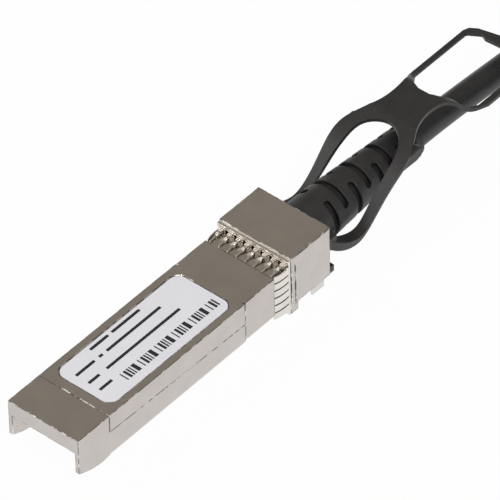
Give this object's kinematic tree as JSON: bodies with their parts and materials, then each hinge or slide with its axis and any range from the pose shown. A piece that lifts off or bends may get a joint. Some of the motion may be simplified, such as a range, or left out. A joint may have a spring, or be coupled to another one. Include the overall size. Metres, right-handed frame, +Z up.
{
  "type": "direct attach cable",
  "caption": "Copper network cable with a latching metal plug at each end, a moulded pull tab and a strain-relief boot, its spare length tied in a hank.",
  "frame": {"origin": "middle of the near plug and its pull tab, at the height of the surface that they lie on", "axes": "+Y from the near plug's mating end towards the cable, +Z up from the surface, +X to the right seen from the mating end"},
  "size_m": [0.0452, 0.2306, 0.0223],
  "materials": {
    "die_cast": "satin nickel plate on die-cast zinc",
    "shield_metal": "bright tin plate",
    "label": "matte film",
    "board": "green solder mask",
    "gold": "gold plate",
    "chip": "moulded epoxy",
    "ceramic": "ceramic with tinned ends",
    "wire": "insulated wire",
    "ferrule": "tinned brass",
    "jacket": "matte black jacket",
    "boot": "matte black moulded rubber",
    "tab": "black moulded plastic",
    "slider_steel": "bright sheet steel",
    "latch_steel": "bright steel",
    "pin_steel": "ground steel",
    "spring_steel": "spring wire",
    "screw_steel": "zinc-plated steel",
    "tie": "hook-and-loop strap"
  },
  "bodies": {
    "plug": {"lower_shell": "die_cast", "upper_shell": "die_cast", "shield_spring": "shield_metal", "label": "label", "circuit_board": "board", "contact_pads": "gold", "memory_chip": "chip", "coupling_capacitors": "ceramic", "transmit_wires": "wire", "receive_wires": "wire", "crimp_ferrule": "ferrule", "cable_end": "jacket", "boot": "boot", "latch_pin": "pin_steel", "latch_spring": "spring_steel", "closing_screw": "screw_steel", "far_lower_shell": "die_cast", "far_upper_shell": "die_cast", "far_shield_spring": "shield_metal", "far_label": "label", "far_circuit_board": "board", "far_contact_pads": "gold", "far_memory_chip": "chip", "far_coupling_capacitors": "ceramic", "far_transmit_wires": "wire", "far_receive_wires": "wire", "far_crimp_ferrule": "ferrule", "far_cable_end": "jacket", "far_boot": "boot", "far_latch_pin": "pin_steel", "far_latch_spring": "spring_steel", "far_closing_screw": "screw_steel", "cable": "jacket", "cable_hank": "jacket", "cable_far_lead": "jacket", "tie_near_side": "tie", "tie_far_side": "tie"},
    "pull": {"pull_tab": "tab", "release_slider": "slider_steel"},
    "latch": {"latch_rocker": "latch_steel"},
    "far_pull": {"far_pull_tab": "tab", "far_release_slider": "slider_steel"},
    "far_latch": {"far_latch_rocker": "latch_steel"}
  },
  "joints": [
    {"name": "tab_pull", "type": "slide", "parent": "plug", "child": "pull", "axis": [0, 1, 0], "range_m": [0, 0.002], "stiffness_N_per_m": 300},
    {"name": "latch_lift", "type": "hinge", "parent": "plug", "child": "latch", "pos_m": [0, -0.00475, 0.0023], "axis": [-1, 0, 0], "range_deg": [0, 6.5]},
    {"name": "far_tab_pull", "type": "slide", "parent": "plug", "child": "far_pull", "axis": [0, -1, 0], "range_m": [0, 0.002], "stiffness_N_per_m": 300},
    {"name": "far_latch_lift", "type": "hinge", "parent": "plug", "child": "far_latch", "pos_m": [0.0022, 0.12775, 0.0116], "axis": [1, 0, 0], "range_deg": [0, 6.5]}
  ],
  "couplings": [
    {"joint": "latch_lift", "follows": "tab_pull", "rad_per_m": 56.7},
    {"joint": "far_latch_lift", "follows": "far_tab_pull", "rad_per_m": 56.7}
  ]
}
